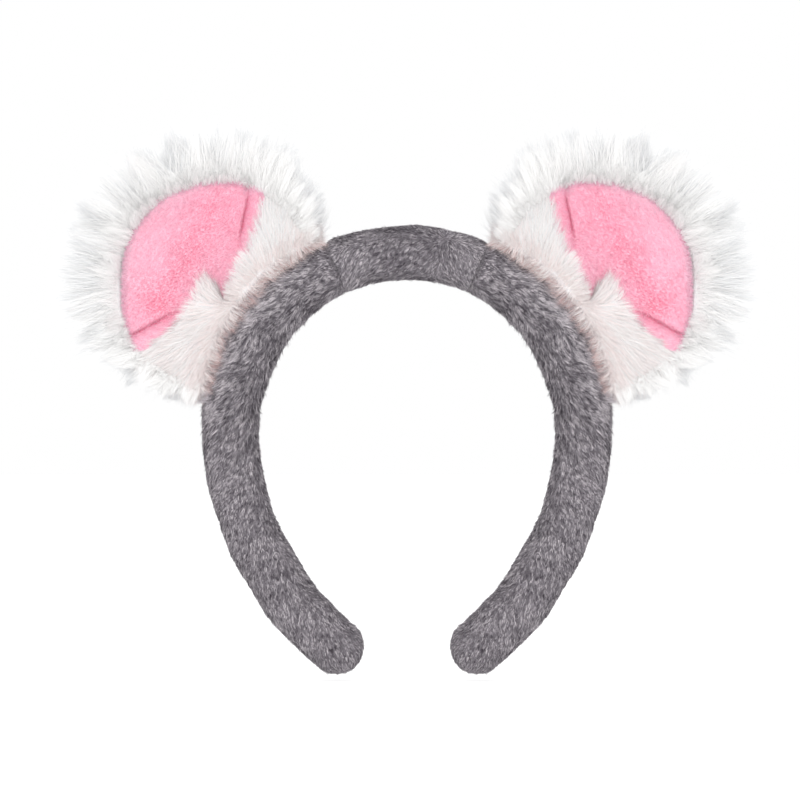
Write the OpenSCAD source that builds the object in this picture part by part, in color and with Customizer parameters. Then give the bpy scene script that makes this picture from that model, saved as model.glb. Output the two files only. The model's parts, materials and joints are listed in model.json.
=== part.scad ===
// Animal ears headband: a padded, plush-covered C-shaped hoop with two round ears.
// Millimetres, +Z up, the front faces -Y. The origin is the centre of the round arc
// that rests on the head. Left and right are as seen from the front.

/* [Hoop] */
// Radius of the inner face that rests on the head
head_r = 60; // [54:1:70]
// Angle from the top where the round arc ends and the flatter leg starts
head_arc_deg = 92; // [88:1:98]
// Radius of a leg's inner face below the round arc
leg_r = 104; // [95:1:130]
// Angle on the leg's own arc where its round tip starts
leg_end_deg = 141; // [132:1:148]
// Thickness of the padded tube, away from the head
tube_t = 22; // [20:1:26]
// Width of the padded tube, front to back
tube_w = 26; // [24:1:32]
// Corner radius of the tube's section
tube_corner = 9; // [7:0.5:9]
// Angle from the top to each cross seam of the cover
crown_deg = 24; // [20:1:26]

/* [Layers] */
// Wall of the plush cover, backing and pile together
cover_t = 3; // [2:0.5:4]
// Thickness of the springy hoop inside
hoop_t = 2; // [1.5:0.1:2.5]
// Width of the springy hoop inside
hoop_w = 12; // [8:1:16]
// How far a hoop's end stops short of the padding's end, in degrees of the leg's arc
hoop_short_deg = 3; // [1:1:6]

/* [Ears] */
// Angle from the top to the middle of an ear's base
ear_deg = 52; // [48:1:56]
// Height of an ear's centre above its base
ear_rise = 14; // [10:1:18]
// Radius of the pink front panel
lining_r = 40.7; // [36:0.1:44]
// Thickness of the pink front panel, pile included
lining_t = 2.5; // [1.5:0.5:4]
// How far the front panel is dished
dish = 9; // [5:1:12]
// Radius from the ear's centre to the edge of its fur
rim_r = 55; // [50:1:60]
// Height of the fur round the front panel, ahead of the ear's middle plane
rim_lip = 10; // [9:0.5:13]
// How far the furry back bulges behind the ear's middle plane
back_bulge = 25; // [20:1:30]
// How far the batting bulges behind the ear's middle plane
batting_bulge = 13; // [11:1:16]
// Height of the folded corners above the ear's base
fold_h = 16; // [12:1:20]
// Front face of the folded corners, ahead of the ear's middle plane
fold_front = 9.5; // [8:0.5:9.5]
// Slope of the ear's underside, which leaves it room to flop
keel_deg = 35; // [33:1:40]

/* [Thread] */
// Radius of the sewing thread
thread_r = 0.35; // [0.25:0.05:0.5]
// Length of one stitch
stitch_l = 3; // [2:0.5:4]
// Distance from one stitch to the next
stitch_pitch = 5; // [4:0.5:8]

/* [Hidden] */
$fn = 96;

slack = 0.3;               // gap between the padding and the cover round it
hoop_slack = 0.1;          // gap between the hoop and the padding round it
seam_gap = 0.2;            // half the gap at a cross seam, in degrees
cut_past_deg = 1;           // how far a cut runs past the face that it opens
hoop_corner = 0.9;         // corner radius of the springy hoop's section
mid_r = head_r + tube_t / 2;
outer_r = head_r + tube_t;
leg_shift = leg_r - head_r;
leg_mid_r = leg_r + tube_t / 2;
leg_outer_r = leg_r + tube_t;
core_t = tube_t - 2 * cover_t;
core_w = tube_w - 2 * cover_t;
core_corner = tube_corner - cover_t;

step = 0.1;                // each stretch of the tube is this much slimmer than the last
overlap_deg = 0.5;         // and starts this far inside it

thread_sink = 0.15;        // how deep a stitch's middle lies in the cloth
crown_stitch_deg = 2;      // the crown's row of stitches stops this far short of its cross seams
cross_stitch_deg = 0.8;    // how far a cross seam's stitches lie from it, on the crown's side
// Directions of a cross seam's stitches round a corner of the section, from its front or back
cross_stitch_turns = [-50, -22.5, 22.5, 50, 77.5];
leg_stitch_deg = 1.5;      // a leg's row of stitches starts this far below the ear's base
edge_stitch_deg = 84;      // how far each way the stitches run round the front panel's edge
edge_stitch_drop = 0.5;    // how far they lie behind that edge
fold_stitch_heights = [7, 10, 13];    // of the stitches through the folded corners
base_stitch_h = 2;         // height of the stitches through the ear's base
base_stitch_deg = 25;      // how far each way they run

keel_gap = 1.2;            // gap between the ear's base and the cover
keel_half = 1.2;           // half the thickness of the ear's base
keel_h = 75;               // height of the space above the base
keel_r = outer_r + keel_gap;
keel_slope = 1 / tan(keel_deg);       // how far it widens each way, for each mm of height
base_half_deg = 27.5;      // half the angle that an ear's base covers
wall_lift = 3;             // the back panel's wall where it meets the base
wall_deg = 1.5;            // and at the base's ends
opening_slack = 0.3;       // gap between the front panel's edge and the fur round it
mouth_slack = 0.2;         // the opening ahead of the panel is this much wider
rim_z = 1;                 // the fur's edge, ahead of the ear's middle plane
lip_z = 7;                 // the front panel's edge, ahead of the ear's middle plane
panel_gap = 0.1;           // gap between the ear's layers
opening_r = lining_r + opening_slack;
mouth_r = opening_r + mouth_slack;
// The front panel's face, the batting's back and the fur's back and front are spheres
dish_r = (lining_r * lining_r + dish * dish) / (2 * dish);
dish_z = lip_z - dish + dish_r;
batting_depth = batting_bulge + lip_z - lining_t;
batting_r = (opening_r * opening_r + batting_depth * batting_depth) / (2 * batting_depth);
batting_z = batting_r - batting_bulge;
back_depth = back_bulge + rim_z;
back_r = (rim_r * rim_r + back_depth * back_depth) / (2 * back_depth);
back_z = back_r - back_bulge;
front_z = (opening_r * opening_r + rim_lip * rim_lip - rim_r * rim_r - rim_z * rim_z)
    / (2 * (rim_lip - rim_z));
front_r = sqrt(rim_r * rim_r + (rim_z - front_z) * (rim_z - front_z));

plush = [0.50, 0.48, 0.50];
pale_fur = [0.95, 0.94, 0.94];
pink = [1.00, 0.70, 0.79];
grey_thread = [0.38, 0.36, 0.38];
foam = [0.92, 0.90, 0.82];

// Turns a model drawn in the plane of the hoop, X right and Y up, to face -Y
module upright() rotate([90, 0, 0]) children();

module side(s) {
    if (s > 0) children();
    else mirror([1, 0, 0]) children();
}

// Section of the tube or of a layer inside it: t away from the head, w front to back
module rounded_section(t, w, r) {
    square([t - 2 * r, w], center = true);
    square([t, w - 2 * r], center = true);
    for (sx = [-1, 1], sy = [-1, 1])
        translate([sx * (t / 2 - r), sy * (w / 2 - r)]) circle(r);
}

// Carries a section round an arc of radius r, from angle a to angle b from the top
module sweep_arc(r, a, b) rotate([0, 0, 90 - b])
    rotate_extrude(angle = b - a) translate([r, 0]) children();

module at_leg_centre() translate([
    -leg_shift * sin(head_arc_deg), -leg_shift * cos(head_arc_deg), 0]) children();

module at_tip(end_deg) at_leg_centre()
    translate([leg_mid_r * sin(end_deg), leg_mid_r * cos(end_deg), 0]) children();

// A leg from the end of the round arc to its round tip
module leg(t, w, r, end_deg) {
    at_leg_centre() sweep_arc(leg_mid_r, head_arc_deg - overlap_deg, end_deg)
        rounded_section(t - 2 * step, w - 2 * step, r - step);
    at_tip(end_deg) rotate_extrude() intersection() {
        rounded_section(t - 4 * step, w - 4 * step, r - 2 * step);
        translate([0, -w]) square([t, 2 * w]);
    }
}

// The right half of the C, from an angle from the top to its round tip
module half_hoop(t, w, r, from_deg, end_deg) {
    sweep_arc(mid_r, from_deg, head_arc_deg) rounded_section(t, w, r);
    leg(t, w, r, end_deg);
}

module whole_hoop(t, w, r, end_deg) {
    sweep_arc(mid_r, -head_arc_deg, head_arc_deg) rounded_section(t, w, r);
    for (s = [-1, 1]) side(s) leg(t, w, r, end_deg);
}

module stitch() rotate([0, 90, 0]) cylinder(h = stitch_l, r = thread_r, center = true);

// Stitches along an arc of radius r, from angle a to angle b from the top, at height z
module stitch_arc(r, a, b, z = 0) {
    n = floor((b - a) * PI / 180 * r / stitch_pitch);
    for (i = [0 : n - 1])
        rotate([0, 0, -(a + (i + 0.5) * (b - a) / n)]) translate([0, r, z]) stitch();
}

module band_core() color("dimgray") upright()
    whole_hoop(hoop_t, hoop_w, hoop_corner, leg_end_deg - hoop_short_deg);

module band_foam() color(foam) upright() difference() {
    whole_hoop(core_t - 2 * slack, core_w - 2 * slack, core_corner - slack, leg_end_deg);
    whole_hoop(hoop_t + 2 * hoop_slack, hoop_w + 2 * hoop_slack,
        hoop_corner + hoop_slack, leg_end_deg - hoop_short_deg);
}

module crown_cover() color(plush) upright()
    sweep_arc(mid_r, seam_gap - crown_deg, crown_deg - seam_gap) difference() {
        rounded_section(tube_t, tube_w, tube_corner);
        rounded_section(core_t, core_w, core_corner);
    }

module crown_seam() color(grey_thread) upright()
    stitch_arc(outer_r - thread_sink, crown_stitch_deg - crown_deg, crown_deg - crown_stitch_deg);

// Stitches round the section, left off the face that rests on the head
module cross_seam(s) color(grey_thread) side(s) upright()
    rotate([0, 0, 90 - crown_deg + cross_stitch_deg]) translate([mid_r, 0, 0]) {
        flat_t = tube_t / 2 - tube_corner;
        flat_w = tube_w / 2 - tube_corner;
        translate([tube_t / 2 - thread_sink, 0, 0]) rotate([0, 90, 0]) stitch();
        for (f = [-1, 1]) {
            translate([0, 0, f * (tube_w / 2 - thread_sink)]) stitch();
            for (a = cross_stitch_turns)
                translate([sign(a) * flat_t, 0, f * flat_w]) rotate([0, -f * (90 - a), 0])
                    translate([tube_corner - thread_sink, 0, 0]) rotate([0, 90, 0]) stitch();
        }
    }

module leg_cover(s) color(plush) side(s) upright() difference() {
    half_hoop(tube_t, tube_w, tube_corner, crown_deg + seam_gap, leg_end_deg);
    half_hoop(core_t, core_w, core_corner, crown_deg - cut_past_deg, leg_end_deg);
}

module leg_seam(s) color(grey_thread) side(s) upright() {
    leg_sink = thread_sink + step;
    stitch_arc(outer_r - thread_sink, ear_deg + base_half_deg + leg_stitch_deg, head_arc_deg);
    at_leg_centre() stitch_arc(leg_outer_r - leg_sink, head_arc_deg, leg_end_deg);
    at_tip(leg_end_deg) stitch_arc(tube_t / 2 - leg_sink - step, leg_end_deg, leg_end_deg + 180);
}

// The space that an ear may fill: narrow at its base and wider above it. A layer inside the
// ear starts at a lift above the base and an inset from its ends.
module keel(lift = 0, inset_deg = 0)
    sweep_arc(0, ear_deg - base_half_deg + inset_deg, ear_deg + base_half_deg - inset_deg)
        polygon([
            [keel_r + lift, -keel_half], [keel_r + lift, keel_half],
            [keel_r + lift + keel_h, keel_half + keel_h * keel_slope],
            [keel_r + lift + keel_h, -keel_half - keel_h * keel_slope]]);

// Puts an ear drawn about its own centre, Y away from the head, on the right leg
module at_ear() rotate([0, 0, -ear_deg]) translate([0, outer_r + ear_rise, 0]) children();

module ear_layer(s, tint, lift, inset_deg) color(tint) side(s) upright() intersection() {
    keel(lift, inset_deg);
    at_ear() rotate_extrude() children();
}

// Half of an ear's profile, out to radius r, between two heights
module profile_box(r, z0, z1) translate([0, z0]) square([r, z1 - z0]);

// Half of a disc of radius r about the ear's axis, centred at height z
module profile_disc(r, z) intersection() {
    translate([0, z]) circle(r);
    profile_box(r + 1, z - r - 1, z + r + 1);
}

// The whole ear's outer shape, fur included
module fur_profile() intersection() {
    profile_disc(back_r, back_z);
    translate([0, front_z]) circle(front_r);
    profile_box(rim_r + 1, -back_bulge - 1, back_bulge);
}

// Where the front panel and the batting lie
module pocket_profile() difference() {
    intersection() {
        profile_box(opening_r, -back_bulge, back_bulge);
        profile_disc(batting_r, batting_z);
    }
    profile_disc(dish_r - panel_gap, dish_z);
}

// The opening in front of the panel, above the base corners that are folded forward over it
module mouth() intersection() {
    rotate_extrude() intersection() {
        profile_box(mouth_r, -2 * dish, 2 * back_bulge);
        profile_disc(dish_r + lining_t / 2, dish_z);
    }
    union() {
        translate([-rim_r, fold_h - ear_rise, -rim_r]) cube(2 * rim_r);
        translate([-rim_r, -rim_r, fold_front]) cube(2 * rim_r);
    }
}

module ear_back(s) color(pale_fur) side(s) upright() difference() {
    intersection() {
        keel();
        at_ear() rotate_extrude() fur_profile();
    }
    intersection() {
        keel(wall_lift, wall_deg);
        at_ear() rotate_extrude() pocket_profile();
    }
    at_ear() mouth();
}

module ear_lining(s) ear_layer(s, pink, wall_lift + panel_gap, wall_deg + panel_gap)
    intersection() {
        difference() {
            profile_disc(dish_r + lining_t, dish_z);
            profile_disc(dish_r, dish_z);
        }
        profile_box(lining_r, -dish - lining_t, lip_z + lining_t);
    }

module ear_filling(s) ear_layer(s, "white", wall_lift + panel_gap, wall_deg + panel_gap)
    intersection() {
        difference() {
            profile_disc(batting_r - panel_gap, batting_z);
            profile_disc(dish_r + lining_t + panel_gap, dish_z);
        }
        profile_box(lining_r, -back_bulge, lip_z);
    }

module ear_edge_seam(s) color(pink) side(s) upright() at_ear()
    stitch_arc((lining_r + opening_r) / 2, -edge_stitch_deg, edge_stitch_deg,
        lip_z - edge_stitch_drop);

module ear_fold_stitches(s) color(pale_fur) side(s) upright() rotate([0, 0, -ear_deg])
    for (h = fold_stitch_heights)
        translate([0, keel_r + h, fold_front - thread_sink]) stitch();

module ear_base_stitches(s) color(grey_thread) side(s) upright() for (f = [-1, 1])
    stitch_arc(keel_r + base_stitch_h, ear_deg - base_stitch_deg, ear_deg + base_stitch_deg,
        f * (keel_half + base_stitch_h * keel_slope - thread_sink));

band_core();
band_foam();
crown_cover();
crown_seam();
cross_seam(-1);  // left_cross_seam
cross_seam(1);  // right_cross_seam
leg_cover(-1);  // left_leg_cover
leg_cover(1);  // right_leg_cover
leg_seam(-1);  // left_leg_seam
leg_seam(1);  // right_leg_seam
ear_back(-1);  // left_ear_back
ear_back(1);  // right_ear_back
ear_lining(-1);  // left_ear_lining
ear_lining(1);  // right_ear_lining
ear_filling(-1);  // left_ear_filling
ear_filling(1);  // right_ear_filling
ear_edge_seam(-1);  // left_ear_edge_seam
ear_edge_seam(1);  // right_ear_edge_seam
ear_fold_stitches(-1);  // left_ear_fold_stitches
ear_fold_stitches(1);  // right_ear_fold_stitches
ear_base_stitches(-1);  // left_ear_base_stitches
ear_base_stitches(1);  // right_ear_base_stitches
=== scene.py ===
import json
import math

import bpy
import numpy as np
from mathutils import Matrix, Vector, kdtree


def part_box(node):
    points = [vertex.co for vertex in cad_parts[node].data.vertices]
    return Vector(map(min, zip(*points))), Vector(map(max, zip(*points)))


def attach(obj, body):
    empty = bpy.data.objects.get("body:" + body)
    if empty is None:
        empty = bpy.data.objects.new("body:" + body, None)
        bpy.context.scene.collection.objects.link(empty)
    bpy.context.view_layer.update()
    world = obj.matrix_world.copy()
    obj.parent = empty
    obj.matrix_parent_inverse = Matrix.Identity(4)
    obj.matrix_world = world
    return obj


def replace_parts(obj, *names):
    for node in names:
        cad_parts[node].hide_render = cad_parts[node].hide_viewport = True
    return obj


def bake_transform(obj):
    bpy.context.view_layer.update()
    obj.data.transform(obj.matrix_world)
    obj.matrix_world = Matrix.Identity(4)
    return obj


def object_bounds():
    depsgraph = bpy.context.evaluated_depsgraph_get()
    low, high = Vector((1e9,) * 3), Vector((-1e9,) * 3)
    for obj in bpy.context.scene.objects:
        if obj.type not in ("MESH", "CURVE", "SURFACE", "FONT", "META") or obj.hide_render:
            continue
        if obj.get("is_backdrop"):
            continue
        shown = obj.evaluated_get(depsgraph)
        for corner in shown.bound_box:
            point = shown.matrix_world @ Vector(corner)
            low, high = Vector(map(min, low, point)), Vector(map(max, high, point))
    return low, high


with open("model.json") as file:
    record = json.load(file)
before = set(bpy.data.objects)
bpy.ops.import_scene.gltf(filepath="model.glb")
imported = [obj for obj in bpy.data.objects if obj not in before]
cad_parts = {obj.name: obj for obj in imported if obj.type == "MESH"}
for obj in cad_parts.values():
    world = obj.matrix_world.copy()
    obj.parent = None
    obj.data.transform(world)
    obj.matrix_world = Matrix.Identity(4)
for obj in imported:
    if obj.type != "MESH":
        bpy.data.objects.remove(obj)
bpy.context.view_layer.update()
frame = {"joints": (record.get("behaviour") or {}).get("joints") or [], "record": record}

# An animal ears headband in plush and long fur. Lengths are in millimetres up to mesh(),
# which turns them into metres. Everything is drawn for the right side and mirrored.
SIDES = {"left": -1, "right": 1}
JOINTS = {j["name"]: j for j in frame["joints"]}


def polar(point):
    """(distance from the hoop's centre in mm, angle from the top) of a point in the frame."""
    return math.hypot(point[0], point[2]) * 1000, math.atan2(abs(point[0]), point[2])


HEAD_R = frame["record"]["mounts"][0]["dims"]["r_mm"]
OUT_R, CROWN = polar(JOINTS["right_leg_flex"]["pos_m"])
EAR = polar(JOINTS["right_ear_flop"]["pos_m"])[1]
TUBE_T = OUT_R - HEAD_R
TUBE_W = (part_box("crown_cover")[1].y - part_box("crown_cover")[0].y) * 1000
MID_R = HEAD_R + TUBE_T / 2
LEG_MID_R = 104 + TUBE_T / 2          # the legs' own, flatter arc
HEAD_ARC = math.radians(92)           # where the legs start
LEG_END = math.radians(141)           # where the legs' round tips start
PILE_IN = 0.9                         # how far the cloth lies below the tips of its pile
CLOTH_T, CLOTH_W = TUBE_T - 2 * PILE_IN, TUBE_W - 2 * PILE_IN
SEAM_PINCH = 0.075                    # share by which a cross seam draws the cover in
SEAM_PINCH_WIDTH = math.radians(1.3)
FULLER = 1.10                         # the cover bulges a little on the side of the head
CROWN_SLIM = 0.8                      # and is this much flatter on the outside of the crown
CROWN_PARTING = 0.2                   # angle at which the crown's pile parts
FOAM_IN = 3.3                         # how far the foam lies inside the pile's tips
HOOP_T, HOOP_W = 2, 12                # the springy hoop's section
FLEX_END = CROWN + math.radians(17)   # where the bend at a cross seam ends
EAR_HALF = math.radians(27.5)         # half the angle that an ear's base covers


# ---------------------------------------------------------------- small helpers

def unit(v):
    """The same directions at length 1."""
    return v / np.maximum(np.linalg.norm(v, axis=-1, keepdims=True), 1e-9)


def step(x, a, b):
    """A smooth rise from 0 at a to 1 at b."""
    t = np.clip((x - a) / (b - a), 0, 1)
    return t * t * (3 - 2 * t)


def lumps(p, size, seed, waves=14):
    """Smooth noise of about -1 to 1 at points p, with features of about that size."""
    rng = np.random.default_rng(seed)
    k = unit(rng.normal(size=(waves, 3))) * rng.uniform(0.6, 1.5, (waves, 1)) * math.pi / size
    return np.cos(p @ k.T + rng.uniform(0, 2 * math.pi, waves)).sum(1) / math.sqrt(waves)


def grid_tris(rows, cols, wrap):
    """Triangles of a grid of points, row by row; wrap joins the last column to the first."""
    i, j = np.meshgrid(np.arange(rows - 1), np.arange(cols if wrap else cols - 1), indexing="ij")
    k = (j + 1) % cols
    a, b, c, d = i * cols + j, i * cols + k, (i + 1) * cols + k, (i + 1) * cols + j
    return np.concatenate([np.stack([a, b, c], -1).reshape(-1, 3),
                           np.stack([a, c, d], -1).reshape(-1, 3)])


def capped(verts, tris, around, outside_in=False):
    """Rows of around points, closed at both ends by a fan; outside_in turns it all over."""
    m, i = len(verts), np.arange(around)
    j = (i + 1) % around
    if outside_in:
        i, j, tris = j, i, tris[:, ::-1]
    first = np.stack([np.full(around, m), j, i], 1)
    last = np.stack([np.full(around, m + 1), m - around + i, m - around + j], 1)
    ends = [verts[:around].mean(0), verts[-around:].mean(0)]
    return np.concatenate([verts, ends]), np.concatenate([tris, first, last])


def normals_of(verts, tris):
    """Each point's normal, weighted by the area of its triangles."""
    a, b, c = (verts[tris[:, k]] for k in range(3))
    face = np.cross(b - a, c - a)
    out = np.zeros_like(verts)
    for k in range(3):
        np.add.at(out, tris[:, k], face)
    return unit(out)


def mesh(name, verts, tris, materials, side=1, tint=None, smooth=True):
    """A mesh object from points in mm and triangles, mirrored for the left side."""
    verts = verts * (side, 1, 1) / 1000
    tris = tris[:, ::-1] if side < 0 else tris
    data = bpy.data.meshes.new(name)
    data.vertices.add(len(verts))
    data.vertices.foreach_set("co", verts.astype(np.float32).ravel())
    data.loops.add(tris.size)
    data.loops.foreach_set("vertex_index", tris.astype(np.int32).ravel())
    data.polygons.add(len(tris))
    data.polygons.foreach_set("loop_start", np.arange(0, tris.size, 3, dtype=np.int32))
    data.polygons.foreach_set("use_smooth", np.full(len(tris), smooth))
    for m in materials:
        data.materials.append(m)
    if tint is not None:
        data.polygons.foreach_set("material_index", tint.astype(np.int32))
    data.update(calc_edges=True)
    made = bpy.data.objects.new(name, data)
    bpy.context.scene.collection.objects.link(made)
    return made


def joined(*parts):
    """One (verts, tris) from several."""
    at, verts, tris = 0, [], []
    for v, t in parts:
        verts.append(v)
        tris.append(t + at)
        at += len(v)
    return np.concatenate(verts), np.concatenate(tris)


# ---------------------------------------------------------------- materials

def new_material(name, rgb, roughness, specular=0.3, sheen=0.0):
    """A material of one colour, and its shader."""
    m = bpy.data.materials.new(name)
    m.use_nodes = True
    shader = m.node_tree.nodes["Principled BSDF"]
    shader.inputs["Base Color"].default_value = (*rgb, 1)
    shader.inputs["Roughness"].default_value = roughness
    shader.inputs["Specular IOR Level"].default_value = specular
    shader.inputs["Sheen Weight"].default_value = sheen
    shader.inputs["Sheen Roughness"].default_value = 0.45
    return m, shader


def cloth_material(name, dark, light, sizes, roughness=0.9, sheen=0.2, bump=0.3, stretch=(1, 1, 1)):
    """Cloth whose colour and height vary at two sizes, given in mm."""
    m, shader = new_material(name, light, roughness, 0.15, sheen)
    nodes, links = m.node_tree.nodes, m.node_tree.links
    where = nodes.new("ShaderNodeTexCoord")
    squeeze = nodes.new("ShaderNodeMapping")
    squeeze.inputs["Scale"].default_value = stretch
    links.new(where.outputs["Object"], squeeze.inputs["Vector"])
    noises = []
    for size in sizes:
        n = nodes.new("ShaderNodeTexNoise")
        n.inputs["Scale"].default_value = 1000 / size
        n.inputs["Detail"].default_value = 3
        n.inputs["Roughness"].default_value = 0.65
        links.new(squeeze.outputs["Vector"], n.inputs["Vector"])
        noises.append(n)
    mix = nodes.new("ShaderNodeMath")
    mix.operation = "MULTIPLY_ADD"
    mix.inputs[1].default_value = 0.5
    links.new(noises[0].outputs["Fac"], mix.inputs[0])
    half = nodes.new("ShaderNodeMath")
    half.operation = "MULTIPLY"
    half.inputs[1].default_value = 0.5
    links.new(noises[1].outputs["Fac"], half.inputs[0])
    links.new(half.outputs[0], mix.inputs[2])
    ramp = nodes.new("ShaderNodeValToRGB")
    ramp.color_ramp.elements[0].position, ramp.color_ramp.elements[1].position = 0.36, 0.64
    ramp.color_ramp.elements[0].color = (*dark, 1)
    ramp.color_ramp.elements[1].color = (*light, 1)
    links.new(mix.outputs[0], ramp.inputs["Fac"])
    links.new(ramp.outputs["Color"], shader.inputs["Base Color"])
    raised = nodes.new("ShaderNodeBump")
    raised.inputs["Strength"].default_value = bump
    raised.inputs["Distance"].default_value = 0.0006
    links.new(noises[1].outputs["Fac"], raised.inputs["Height"])
    links.new(raised.outputs["Normal"], shader.inputs["Normal"])
    return m


def thread_material(name, dark, light):
    """Twisted sewing thread: fine slanting plies."""
    m, shader = new_material(name, light, 0.6, 0.3)
    nodes, links = m.node_tree.nodes, m.node_tree.links
    where = nodes.new("ShaderNodeTexCoord")
    plies = nodes.new("ShaderNodeTexWave")
    plies.inputs["Scale"].default_value = 900
    plies.inputs["Distortion"].default_value = 1.5
    plies.bands_direction = "DIAGONAL"
    links.new(where.outputs["Object"], plies.inputs["Vector"])
    ramp = nodes.new("ShaderNodeValToRGB")
    ramp.color_ramp.elements[0].color = (*dark, 1)
    ramp.color_ramp.elements[1].color = (*light, 1)
    links.new(plies.outputs["Fac"], ramp.inputs["Fac"])
    links.new(ramp.outputs["Color"], shader.inputs["Base Color"])
    raised = nodes.new("ShaderNodeBump")
    raised.inputs["Strength"].default_value = 0.4
    raised.inputs["Distance"].default_value = 0.0002
    links.new(plies.outputs["Fac"], raised.inputs["Height"])
    links.new(raised.outputs["Normal"], shader.inputs["Normal"])
    return m


def tints(name, colours, roughness, specular, glow=()):
    """One plain material for each colour that single hairs of a pile have. Light that scatters
    on through pale fibres is stood in for by a faint glow of their own colour."""
    out = []
    for k, c in enumerate(colours):
        m, shader = new_material(f"{name}_{k}", c, roughness, specular)
        if glow:
            shader.inputs["Emission Color"].default_value = (*c, 1)
            shader.inputs["Emission Strength"].default_value = glow[k]
        out.append(m)
    return out


GREY_CLOTH = cloth_material("grey_plush_backing", (0.11, 0.095, 0.11), (0.34, 0.315, 0.34), (5, 1.0))
WHITE_CLOTH = cloth_material("white_fur_backing", (0.80, 0.78, 0.79), (0.90, 0.88, 0.89), (9, 1.5))
PINK_CLOTH = cloth_material("pink_velour", (0.98, 0.50, 0.62), (0.99, 0.63, 0.74), (7, 0.9), sheen=0.3)
FOAM = cloth_material("open_cell_foam", (0.70, 0.66, 0.52), (0.88, 0.86, 0.76), (4, 0.8), bump=0.8)
BATTING = cloth_material("fibre_batting", (0.80, 0.80, 0.80), (0.93, 0.93, 0.92), (5, 0.7),
                         bump=0.8, stretch=(1, 2.5, 1))
PLASTIC = cloth_material("moulded_plastic", (0.10, 0.10, 0.11), (0.13, 0.13, 0.14), (20, 0.5),
                         roughness=0.45, sheen=0, bump=0.05)
GREY_THREAD = thread_material("grey_thread", (0.10, 0.09, 0.10), (0.22, 0.21, 0.22))
PINK_THREAD = thread_material("pink_thread", (0.80, 0.32, 0.42), (0.95, 0.5, 0.6))
WHITE_THREAD = thread_material("white_thread", (0.70, 0.69, 0.68), (0.9, 0.89, 0.88))
GREY_HAIRS = tints("grey_hair", [(0.066, 0.055, 0.067), (0.14, 0.124, 0.143), (0.253, 0.233, 0.256),
                                 (0.43, 0.397, 0.423), (0.74, 0.69, 0.725)], 0.75, 0.2)
# Bluish for the fringe, two whites, a rosy one for the base that paints pink light reflected from the
# panel, two dusty pinks that paint the shadow line along the base, and the fringe's roots, whose stronger
# glow is painted light that lifts the shade among them
WHITE_HAIRS = tints("white_hair", [(0.83, 0.838, 0.85), (0.938, 0.937, 0.936), (0.948, 0.935, 0.928),
                                   (0.935, 0.855, 0.845), (0.68, 0.47, 0.46), (0.83, 0.67, 0.655),
                                   (0.915, 0.91, 0.905)], 0.6, 0.15, (0.01, 0.02, 0.02, 0.015, 0, 0, 0.07))
PINK_HAIRS = tints("pink_hair", [(0.96, 0.27, 0.42), (0.975, 0.40, 0.55), (0.98, 0.495, 0.635),
                                 (0.98, 0.565, 0.70), (0.98, 0.65, 0.77)], 0.8, 0.1)


# ---------------------------------------------------------------- hair

def scatter(verts, tris, count, weight, rng):
    """Random points on a surface: (points, normals), denser where weight(points) is high."""
    a, b, c = (verts[tris[:, k]] for k in range(3))
    area = np.linalg.norm(np.cross(b - a, c - a), axis=1) * weight((a + b + c) / 3)
    pick = rng.choice(len(tris), count, p=area / area.sum())
    r1, r2 = np.sqrt(rng.random(count)), rng.random(count)
    bary = np.stack([1 - r1, r1 * (1 - r2), r1 * r2], 1)[:, :, None]
    n = normals_of(verts, tris)
    return ((verts[tris[pick]] * bary).sum(1), unit((n[tris[pick]] * bary).sum(1)))


def nearest(points, centres):
    """For each point, the index of the centre that is closest to it."""
    tree = kdtree.KDTree(len(centres))
    for i, c in enumerate(centres):
        tree.insert(c, i)
    tree.balance()
    return np.array([tree.find(p)[1] for p in points])


def hairs(roots, normals, comb, length, width, rng, levels=4, rise=0.5, wild=0.12, bend=0.15,
          clumps=(), broad=0.5, stray=0.0, facing=None):
    """Tapered ribbons: (verts, tris, tris for each hair). They leave the surface along its
    normal by rise, lie over towards comb, and gather in clumps of (count, strength). Their
    flat sides are turned to facing, or away from the surface."""
    n = len(roots)
    loose = np.where(rng.random(n) < stray, 0.2, 1)[:, None, None]
    start = unit(normals * rise + comb + wild * rng.normal(size=(n, 3)))
    end = unit(comb + normals * rise * 0.35 + bend * rng.normal(size=(n, 3)))
    t = np.linspace(0, 1, levels + 1)[None, :, None]
    turn = start[:, None] * t + (end - start)[:, None] * t * t / 2
    path = roots[:, None] + length[:, None, None] * turn
    for count, strength in clumps:
        centre = rng.choice(n, count, replace=False)
        mine = centre[nearest(roots, roots[centre])]
        pull = strength * t ** 1.8 * rng.uniform(0.7, 1.15, (n, 1, 1)) * loose
        path = path + (path[mine] - path) * np.clip(pull, 0, 0.97)
    along = unit(path[:, -1] - path[:, 0])
    across = np.cross(along, normals if facing is None else facing)
    across = unit(across + broad * rng.normal(size=(n, 3)))
    across = unit(across - along * (across * along).sum(1)[:, None])
    taper = np.sqrt(1 - t[:, :-1]) * width[:, None, None] / 2
    lo, hi = path[:, :-1] - across[:, None] * taper, path[:, :-1] + across[:, None] * taper
    verts = np.concatenate([np.stack([lo, hi], 2).reshape(n, -1, 3), path[:, -1:]], 1)
    k = np.arange(levels - 1)[:, None] * 2
    one = np.concatenate([(k + [[0, 1, 3]]), (k + [[0, 3, 2]]),
                          [[2 * levels - 2, 2 * levels - 1, 2 * levels]]])
    tris = one[None] + (np.arange(n) * (2 * levels + 1))[:, None, None]
    return verts.reshape(-1, 3), tris.reshape(-1, 3), len(one)


# ---------------------------------------------------------------- the padded hoop

def spine(a):
    """Centre line of the tube and its outward normal at angle a, as (x, z) pairs."""
    far = a > HEAD_ARC
    shift = np.where(far, LEG_MID_R - MID_R, 0)
    r = np.where(far, LEG_MID_R, MID_R)
    n = np.stack([np.sin(a), np.cos(a)], -1)
    c = np.array([math.sin(HEAD_ARC), math.cos(HEAD_ARC)])
    return r[..., None] * n - shift[..., None] * c, n


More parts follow.
